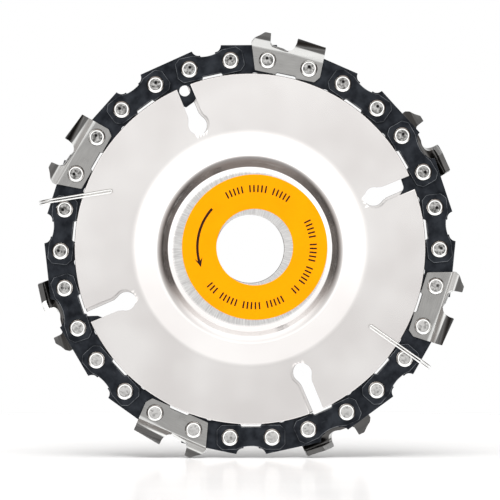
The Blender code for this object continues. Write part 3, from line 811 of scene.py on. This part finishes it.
strap = {
    "end": 3.1,
    "halfHeight": 2.9,
    "corner": 1.2,
    "waist": 2.1,
    "waistHalf": 3.5,
    "notchHalf": 2.2,
    "notchDepth": 0.55,
    "edgeRound": 0.14,
}
drive = {
    "hornHeight": 3.65,
    "hornEnd": 2.27,
    "end": 3.69,
    "shoulder": 2.0,
    "endRadius": 3.4,
    "tangDepth": 7.8,
    "tangHalf": 4.5,
    "tangShoulder": 5.4,
    "oilHole": 2.6,
    "oilX": 1.3,
    "oilY": -4.1,
    "bearing": 4.5,
    "edgeRound": 0.12,
}
rivet = {
    "head": 2.025,
    "flat": 1.62,
    "lip": 1.42,
    "middle": 1.28,
    "dish": 0.14,
    "shank": 1.55,
    "hub": 2.1,
    "endPlay": 0.05,
    "steps": 44,
}
tooth = {
    "gaugeFront": 4.6,
    "gaugeHeight": 6.3,
    "gaugeRamp": 3.4,
    "gaugeLength": 4.15,
    "gaugeFlare": 0.8,
    "gullet": 3.1,
    "gulletStep": 0.45,
    "footFront": 2.45,
    "tail": 3.0,
    "corner": 1.1,
    "length": 7.2,
    "height": 6.5,
    "drop": 0.85,
    "flareStart": 2.8,
    "flareEnd": 4.5,
    "flareEndDrop": 0.55,
    "flare": 1.2,
    "rearFlare": 0.85,
    "overhang": 1.2,
    "fileDiameter": 4.2,
    "fileAngle": 30.0,
    "setback": -0.2,
    "bendRadius": 0.8,
    "edgeRound": 0.07,
}
sheet = sideOuter - sideInner
sheetMiddle = (sideOuter + sideInner) / 2


def shankHoles():
    diameter = 2 * (rivet["shank"] + chain["shankClearance"])
    return [ring(side * outerHalf, 0, diameter, 32) for side in (-1, 1)]


def footCorners(left, right):
    # A side link's lower edge from left to right, notched between its feet
    low = -strap["halfHeight"]
    half, deep = strap["notchHalf"], strap["notchDepth"]
    return [
        (left, low, 0.4),
        (-half - deep / 2, low, 0.15),
        (-half, low + deep, 0.2),
        (half, low + deep, 0.2),
        (half + deep / 2, low, 0.15),
        (right, low, 0.4),
    ]


def strapMesh():
    end = outerHalf + strap["end"]
    top, corner = strap["halfHeight"], strap["corner"]
    side = top - corner
    corners = footCorners(-end + corner, end - corner)
    corners += [(end, -side, 0.6), (end, side, 0.6), (end - corner, top, 0.6)]
    for step in range(13):
        along = 1 - step / 6
        corners.append((strap["waistHalf"] * along, strap["waist"] + (top - strap["waist"]) * along**2, 0))
    corners += [(-end + corner, top, 0.6), (-end, side, 0.6), (-end, -side, 0.6)]
    mesh = flatSheet([rounded(corners), *shankHoles()], sheet, sheetMiddle)
    mesh = shaded(softened(mesh, strap["edgeRound"]))
    return withEdgeMark(withPlace(mesh), isBrokenEdge)


def driveMesh():
    end = driveHalfSpacing + drive["end"]
    horn = driveHalfSpacing + drive["hornEnd"]
    reach = drive["end"] - drive["hornEnd"]
    fall = drive["hornHeight"] - drive["shoulder"]
    scoop = []
    for step in range(1, 6):
        turn = math.radians(90 * step / 6)
        scoop.append((horn + reach * (1 - math.cos(turn)), drive["hornHeight"] - fall * math.sin(turn), 0))
    rightEnd = [(x, y, 0) for x, y in arc(driveHalfSpacing, 0, drive["endRadius"], 6, -66, 12)]
    right = [(horn, drive["hornHeight"], 0.12), *scoop, (end, drive["shoulder"], 0.2), *rightEnd]
    left = [(-x, y, r) for x, y, r in right[::-1]]
    tang = [
        (drive["tangHalf"], -drive["tangShoulder"], 0.6),
        (drive["tangHalf"] / 2, -drive["tangDepth"] + 0.5, 0.5),
        (0, -drive["tangDepth"], 0.4),
        (-drive["tangHalf"] / 2, -drive["tangShoulder"], 1.2),
        (-drive["tangHalf"], -drive["tangShoulder"], 0.5),
    ]
    holes = [ring(side * driveHalfSpacing, 0, drive["bearing"], 32) for side in (-1, 1)]
    holes.append(ring(drive["oilX"], drive["oilY"], drive["oilHole"], 28))
    mesh = flatSheet([rounded(right + tang + left), *holes], 2 * driveHalf)
    mesh = shaded(softened(mesh, drive["edgeRound"]))
    return withEdgeMark(withPlace(mesh), isBrokenEdge)


def rivetMesh():
    # One head: a bevelled ring, a lip, and a dished middle where the spinning tool pressed
    seat = sideOuter + rivet["endPlay"]
    head = [
        (0.0, headTop - rivet["dish"] * 0.75),
        (0.55, headTop - rivet["dish"] * 0.9),
        (1.0, headTop - rivet["dish"]),
        (rivet["middle"], headTop - rivet["dish"]),
        (rivet["middle"] + 0.05, headTop - rivet["dish"] * 1.2),
        (rivet["lip"] - 0.05, headTop - 0.03),
        (rivet["lip"] + 0.04, headTop),
        (rivet["flat"] - 0.05, headTop - 0.01),
        (rivet["flat"] + 0.06, headTop - 0.06),
        (rivet["head"] - 0.06, headTop - 0.34),
        (rivet["head"], headTop - 0.42),
        (rivet["head"], seat + 0.04),
        (rivet["head"] - 0.04, seat),
        (rivet["shank"], seat),
        (rivet["shank"], sideInner - rivet["endPlay"]),
        (rivet["hub"], sideInner - rivet["endPlay"]),
    ]
    profile = head + [(r, -h) for r, h in head[::-1]]
    mesh = shaded(turned(profile, rivet["steps"]), 50)
    return withEdgeMark(withPlace(mesh), lambda face: 0.0)


def blankCorners():
    # The tooth's flat blank, before its gauge and top plate are bent out and over
    front = -outerHalf - tooth["gaugeFront"]
    rear = outerHalf + tooth["tail"]
    edge = rear - tooth["length"]
    gaugeRear = front + tooth["gaugeLength"]
    step = tooth["gulletStep"]
    stretch = bentStretch(tooth["flare"])
    gaugeStretch = bentStretch(tooth["gaugeFlare"])
    gaugeTop = tooth["gaugeHeight"] + gaugeStretch
    wallTop = tooth["height"] + stretch - sheet / 2 - 0.3
    tongue = wallTop + sideOuter + tooth["flare"] + tooth["overhang"] - 0.9
    corners = footCorners(-outerHalf - tooth["footFront"], rear - tooth["corner"])
    corners += [
        (rear, -strap["halfHeight"] + 1.3 * tooth["corner"], 0.5),
        (rear, tooth["flareStart"], 0),
        (rear - 0.05, wallTop, 0),
        (rear - 0.3, tongue, 0.3),
        (edge + 1.2, tongue, 0),
        (edge - 1.0, wallTop, 0),
        (edge - 1.3, tooth["gullet"] + 0.6, 0.5),
        (edge - 3 * step, tooth["gullet"] - 0.05, 0.4),
        (gaugeRear + 4 * step, tooth["gullet"] + 0.8 * step, 0.6),
        (gaugeRear + 2 * step, tooth["gullet"] + step, 0.6),
        (gaugeRear + 0.3, tooth["gullet"] + 2.4 * step, 0.4),
        (gaugeRear, gaugeTop, 0.12),
        (front + 0.66 * tooth["gaugeLength"], gaugeTop - 0.02, 0.5),
    ]
    ramp = tooth["gaugeHeight"] - tooth["gaugeRamp"]
    for along in (0.41, 0.16):
        height = gaugeTop - ramp * (0.66 - along) ** 0.8
        corners.append((front + along * tooth["gaugeLength"], height, 1.0))
    corners.append((front, tooth["gaugeRamp"] + 0.5 * gaugeStretch, 0.25))
    return corners


def bentStretch(flare):
    # How much longer the leaning wall is than its height
    rise = tooth["flareEnd"] - tooth["flareStart"]
    return math.hypot(rise, flare) - rise


def bendPath(flare, flareEnd, height, overTheTop):
    # The sheet's middle line from the side plate up, as (length, z, y, lean) in fine steps
    rise = flareEnd - tooth["flareStart"]
    lean = math.atan2(flare, rise)
    wall = math.hypot(rise, flare)
    bend = 0.35 * wall
    onward = 12.0  # a straight run longer than any blank
    parts = 14
    overRadius = tooth["bendRadius"]
    upright = height - sheet / 2 - overRadius - flareEnd
    stages = [(bend, lean), (wall - bend, 0.0), (bend, -lean), (max(upright - bend / 2, 0.05), 0.0)]
    if overTheTop:
        stages.append((overRadius * math.pi / 2, -math.pi / 2))
    stages.append((onward, 0.0))
    start = tooth["flareStart"] - bend / 2
    length, z, y, heading = start, sheetMiddle, start, 0.0
    path = [(length, z, y, heading)]
    for span, turn in stages:
        for _ in range(parts):
            heading += turn / parts / 2
            z += math.sin(heading) * span / parts
            y += math.cos(heading) * span / parts
            heading += turn / parts / 2
            length += span / parts
            path.append((length, z, y, heading))
    return path


def onPath(path, length):
    if length <= path[0][0]:
        return sheetMiddle, length, 0.0
    for first, second in zip(path, path[1:]):
        if length <= second[0]:
            share = (length - first[0]) / (second[0] - first[0])
            return tuple(a + (b - a) * share for a, b in zip(first[1:], second[1:]))
    return path[-1][1:]


def eased(value, low, high):
    share = min(1.0, max(0.0, (value - low) / (high - low)))
    return share * share * (3 - 2 * share)


def fileGroove():
    # The round file's track, square to the cutting edge
    rear = outerHalf + tooth["tail"]
    x = rear - tooth["length"] - tooth["fileDiameter"] / 2 + tooth["setback"]
    y = tooth["gullet"] + tooth["fileDiameter"] / 2
    place = Matrix.Translation((x * mm, y * mm, (sideOuter + tooth["flare"]) * mm))
    return place @ Matrix.Rotation(math.radians(-tooth["fileAngle"]), 4, "Y")


def toothMesh():
    mesh = flatSheet([rounded(blankCorners()), *shankHoles()], sheet, sheetMiddle)
    mesh = softened(mesh, tooth["edgeRound"])
    work = bmesh.new()
    work.from_mesh(mesh)
    top = max(vert.co.y for vert in work.verts) / mm
    height = tooth["flareStart"] - 0.4
    while height < top:
        # Lines across the blank where it bends
        everything = work.verts[:] + work.edges[:] + work.faces[:]
        bmesh.ops.bisect_plane(work, geom=everything, plane_co=(0, height * mm, 0), plane_no=(0, 1, 0))
        height += 0.2
    front = -outerHalf - tooth["gaugeFront"]
    rear = outerHalf + tooth["tail"]
    edge = rear - tooth["length"]
    gaugeRear = front + tooth["gaugeLength"]
    flareEnd = tooth["flareEnd"]
    rearEnd = flareEnd - tooth["flareEndDrop"]
    gaugePath = bendPath(tooth["gaugeFlare"], flareEnd, tooth["height"], False)
    leading = bendPath(tooth["flare"], flareEnd, tooth["height"], True)
    trailing = bendPath(tooth["rearFlare"], rearEnd, tooth["height"] - tooth["drop"], True)
    for vert in work.verts:
        x, y, z = (value / mm for value in vert.co)
        back = min(1.0, max(0.0, (x - edge) / (rear - edge)))
        toTop = eased(x, gaugeRear + 0.2, edge - 0.8)
        spots = [onPath(path, y) for path in (gaugePath, leading, trailing)]
        mixed = []
        for onGauge, onFront, onRear in zip(*spots):
            onTop = onFront + (onRear - onFront) * back
            mixed.append(onGauge + (onTop - onGauge) * toTop)
        middleZ, middleY, lean = mixed
        out = z - sheetMiddle
        vert.co = Vector((x, middleY - math.sin(lean) * out, middleZ + math.cos(lean) * out)) * mm
    work.to_mesh(mesh)
    work.free()
    end = 4 * tooth["fileDiameter"]
    radius = tooth["fileDiameter"] / 2
    groove = turned([(0, end), (radius, end), (radius, -end), (0, -end)], 64)
    place = fileGroove()
    groove.transform(place)
    mesh = shaded(cutWith(mesh, [groove]), 32)
    inverse = place.inverted()

    def filed(face):
        spot = inverse @ face.center
        return 1.0 if abs(math.hypot(spot.x, spot.y) / mm - radius) < 0.03 else 0.0

    def shadedInside(face):
        # The inside of the bend, which takes painted shade
        under = face.normal.y < -0.2 and face.normal.z < 0.2
        high = face.center.y > tooth["flareStart"] * mm
        return 1.0 if face.normal.z < -0.25 or (under and high) else 0.0

    return withEdgeMark(withEdgeMark(withPlace(mesh), filed), shadedInside, "inner")


def linkRow(name, mesh, finish, slotName, nodes, **places):
    # One kind of link, set out round the chain as a single piece
    usual = {"firstAngle": firstLink, "stepAngle": linkStep, "radius": outerRadius * mm}
    row = setOut(name, mesh, finishes[finish], **{**usual, **places})
    finishPiece(name, row, "chain", None, nodes)


print("stage: chain")
firstLink = chain["firstLink"]
teeth = range(1, chain["linkPairs"], 2)
backTeeth = [number for number in teeth if number % 4 == 3]
straps = [number for number in linkNumbers if number not in teeth]
frontNames = [f"tie_strap_{n:02d}" for n in straps] + [f"preset_{n:02d}" for n in backTeeth]
backNames = [f"preset_{n:02d}" for n in linkNumbers if n not in backTeeth]
driveNames = [f"drive_link_{n:02d}" for n in linkNumbers]
frontTeethNames = [f"cutter_{n:02d}" for n in teeth if n not in backTeeth]
backTeethNames = [f"cutter_{n:02d}" for n in backTeeth]
oneStrap, oneTooth = strapMesh(), toothMesh()
# Straps stand where no tooth does, so every fourth place is left out, though never the last one
linkRow(
    "frontStraps", oneStrap, "black", "blued_steel", frontNames,
    count=15, leaveOutEvery=4, leaveOutFrom=0, leaveOutBelow=14,
)
linkRow(
    "backStraps", mirrored(oneStrap), "black", "blued_steel", backNames,
    count=15, leaveOutEvery=4, leaveOutFrom=2, leaveOutBelow=14, seed=11,
)
linkRow(
    "driveLinks", driveMesh(), "black", "blued_steel", driveNames,
    count=15, firstAngle=firstLink + linkStep / 2, radius=driveRadius * mm, seed=5,
)
linkRow(
    "rivets", rivetMesh(), "rivet", "cutter_steel", None,
    count=30, perLink=2, halfAngle=outerHalfAngle, radius=pitchRadius * mm, spin=0.2, seed=3,
)
linkRow(
    "frontTeeth", oneTooth, "tooth", "cutter_steel", frontTeethNames, count=4, stepAngle=4 * linkStep,
)
linkRow(
    "backTeeth", mirrored(oneTooth), "tooth", "cutter_steel", backTeethNames,
    count=3, firstAngle=firstLink + 2 * linkStep, stepAngle=4 * linkStep, seed=9,
)


clips = {
    "wire": 0.45,
    "spacing": 0.62,
    "length": 17.2,
    "standOff": 2.65,
    # Each one's outer link, how far clockwise of its middle it sits, and its lean in degrees
    "places": {"clip_left": (12, 5.13, -21.7), "clip_right": (6, -6.37, 1.6)},
}


def wireTree():
    tree = bpy.data.node_groups.new("wireAlongPath", "GeometryNodeTree")
    names = {}
    sockets = {
        "Path": "NodeSocketGeometry",
        "Wire Radius": "NodeSocketFloat",
        "Material": "NodeSocketMaterial",
    }
    for label, kind in sockets.items():
        names[label] = tree.interface.new_socket(name=label, in_out="INPUT", socket_type=kind).identifier
    tree.interface.new_socket(name="Geometry", in_out="OUTPUT", socket_type="NodeSocketGeometry")
    given = tree.nodes.new("NodeGroupInput").outputs
    line = addNode(tree, "GeometryNodeMeshToCurve", {"Mesh": given["Path"]})
    section = {"Resolution": 14, "Radius": given["Wire Radius"]}
    circle = addNode(tree, "GeometryNodeCurvePrimitiveCircle", section)
    wire = {"Curve": line, "Profile Curve": circle, "Fill Caps": True}
    tube = addNode(tree, "GeometryNodeCurveToMesh", wire)
    real = addNode(tree, "GeometryNodeRealizeInstances", [tube])
    painted = addNode(tree, "GeometryNodeSetMaterial", {"Geometry": real, "Material": given["Material"]})
    addNode(tree, "NodeGroupOutput", [painted])
    return tree, names


def clipPath():
    # Behind the disc, over the chain to the front, round a small eye and back the same way
    half = clips["spacing"] / 2
    inner = half - clips["length"]
    bend = [(y - clipHeight, z) for y, z in arc(0, 0, clipHeight, -90, 90, 24)]
    leg = [inner + (bend[-1][0] - inner) * i / 12 for i in range(12)]
    path = [(-half, y, -clipHeight) for y in leg]
    path += [(-half, y, z) for y, z in bend]
    path += [(-half, y, clipHeight) for y in leg[::-1]]
    path += [(x, y, clipHeight) for x, y in arc(0, inner, half, 180, 360, 12)[1:-1]]
    path += [(half, y, clipHeight) for y in leg]
    path += [(half, y, z) for y, z in reversed(bend)]
    path += [(half, y, -clipHeight) for y in leg[::-1]]
    return path


print("stage: clips")
wireAlongPath, wireInputs = wireTree()
clipReach = driveRadius + drive["hornHeight"] + clips["standOff"]
for clipName, (link, along, lean) in clips["places"].items():
    clockAngle = chain["firstLink"] + (link - 1) * linkStep + math.degrees(along / pitchRadius)
    path = clipPath()
    mesh = bpy.data.meshes.new(clipName)
    mesh.from_pydata([Vector(point) * mm for point in path], [(i, i + 1) for i in range(len(path) - 1)], [])
    item = newItem(clipName, mesh)
    change = item.modifiers.new("wire", "NODES")
    change.node_group = wireAlongPath
    change[wireInputs["Wire Radius"]] = clips["wire"] / 2 * mm
    change[wireInputs["Material"]] = finishes["wire"]
    wire = shaded(cleaned(newMesh(item)), 60)
    x, z = discPoint(clipReach, clockAngle)
    turn = Matrix.Rotation(math.radians(clockAngle + lean), 4, "Y") @ Matrix.Rotation(math.pi / 2, 4, "X")
    wire.transform(Matrix.Translation((x * mm, 0, z * mm)) @ turn)
    finishPiece(clipName + "_wire", wire, clipName, None, [clipName])


studio = {
    "viewWidth": 117.7,
    "distance": 800.0,
    "viewHeight": -0.27,
    "tableRadius": 220.0,
    "sunFrom": (-0.05, -0.35, 1.0),
    "sunPower": 3.8,
    "sunSize": 50.0,
    "centreLevel": 0.79,
    "ringLevel": 1.55,
    "outsideRing": 0.47,
    "sideLevel": 0.04,
    "overheadLevel": 0.3,
    "eavesLevel": 0.3,
    "behindLevel": 0.8,
    "lowLevel": 0.97,
    "highLevel": 1.34,
}

print("stage: studio")
tableMesh = bpy.data.meshes.new("table")
work = bmesh.new()
bmesh.ops.create_circle(work, cap_ends=True, radius=studio["tableRadius"] * mm, segments=96)
bmesh.ops.translate(work, verts=work.verts, vec=(0, 0, cadBox[0][2] - 0.1 * mm))
work.to_mesh(tableMesh)
work.free()
table = newItem("table", tableMesh)
tableMesh.materials.append(whiteBoard())
table.visible_glossy = False  # it would stop the hub's dark band halfway down

sun = bpy.data.lights.new("softSun", "SUN")
sun.energy = studio["sunPower"]
sun.angle = math.radians(studio["sunSize"])
sunItem = newItem("softSun", sun)
sunItem.location = studio["sunFrom"]
sunItem.visible_glossy = False  # metals mirror the walls alone
sunItem.rotation_euler = (-Vector(studio["sunFrom"])).to_track_quat("-Z", "Y").to_euler()

world = bpy.data.worlds.new("studioWalls")
bpy.context.scene.world = world
world.use_nodes = True
walls = world.node_tree
# The walls' brightness by direction: ahead is on the camera's side, upward is the ceiling
direction = addNode(walls, "ShaderNodeTexCoord", output="Generated")
split = addNode(walls, "ShaderNodeSeparateXYZ", [direction]).node.outputs
ahead = addNode(walls, "ShaderNodeMath", (split[1], -1.0), operation="MULTIPLY")
upward = split[2]
ranges = {
    # A bright ring round a duller middle, which draws the slope of the dish
    "ring": (ahead, 0.945, 0.995, studio["ringLevel"], studio["centreLevel"]),
    "outsideRing": (ahead, 0.7, 0.9, 1.0, 0.0),
    "graded": (upward, -0.12, 0.12, studio["lowLevel"], studio["highLevel"]),
    "aboveFloor": (upward, -0.85, -0.2, 0.0, 1.0),
    # Dark flags at the sides, which draw the hub's edge
    "beside": (ahead, 0.0, 0.94, 1.0, 0.0),
    # Darker eaves under a dim ceiling, which keep the upper edges from burning out
    "eaves": (upward, 0.4, 0.85, 1.0, studio["eavesLevel"]),
    "ceiling": (upward, 0.6, 0.95, 0.0, studio["overheadLevel"]),
    "behind": (ahead, -0.75, -0.3, studio["behindLevel"], 0.0),
}
wall = {name: addNode(walls, "ShaderNodeMapRange", limits, **smooth) for name, limits in ranges.items()}
outside = addNode(walls, "ShaderNodeMath", (wall["outsideRing"], wall["aboveFloor"]), operation="MULTIPLY")
fading = (outside, studio["outsideRing"] - 1, 1.0)
spread = addNode(walls, "ShaderNodeMath", fading, operation="MULTIPLY_ADD")
ringed = addNode(walls, "ShaderNodeMath", (wall["ring"], spread), operation="MULTIPLY")
graded = addNode(walls, "ShaderNodeMath", (ringed, wall["graded"]), operation="MULTIPLY")
flag = addNode(walls, "ShaderNodeMath", (wall["beside"], wall["aboveFloor"]), operation="MULTIPLY")
sides = addNode(walls, "ShaderNodeMath", (flag, studio["sideLevel"] - 1, 1.0), operation="MULTIPLY_ADD")
lit = addNode(walls, "ShaderNodeMath", (graded, sides), operation="MULTIPLY")
both = addNode(walls, "ShaderNodeMath", (lit, wall["behind"]), operation="ADD")
level = addNode(walls, "ShaderNodeMath", (both, wall["eaves"], wall["ceiling"]), operation="MULTIPLY_ADD")
# The camera itself sees plain white; to every other ray the flags are faintly warm
seen = addNode(walls, "ShaderNodeLightPath", output="Is Camera Ray")
shown = addNode(walls, "ShaderNodeMix", {0: seen, 2: level, 3: 1.0}, data_type="FLOAT")
background = walls.nodes["Background"]
notBehind = addNode(walls, "ShaderNodeMapRange", (ahead, -0.5, -0.1, 0.0, 1.0))
warm = addNode(walls, "ShaderNodeMath", (flag, notBehind), operation="MULTIPLY")
unseen = addNode(walls, "ShaderNodeMath", (1.0, seen), operation="SUBTRACT")
warmFlag = addNode(walls, "ShaderNodeMath", (warm, unseen), operation="MULTIPLY")
warmth = {0: warmFlag, 6: linear("#FFFFFF"), 7: linear("#F4E4DB")}
tint = addNode(walls, "ShaderNodeMix", warmth, **colorMix)
walls.links.new(tint, background.inputs["Color"])
walls.links.new(shown, background.inputs["Strength"])

camera = bpy.data.cameras.new("camera")
camera.sensor_width = 36.0
camera.lens = 36.0 * studio["distance"] / studio["viewWidth"]
camera.clip_end = 100.0
eye = newItem("camera", camera)
eye.location = (0, -studio["distance"] * mm, studio["viewHeight"] * mm)
eye.rotation_euler = (math.pi / 2, 0, 0)
bpy.context.scene.camera = eye
bpy.context.scene.view_settings.view_transform = "Standard"

print("stage: done")
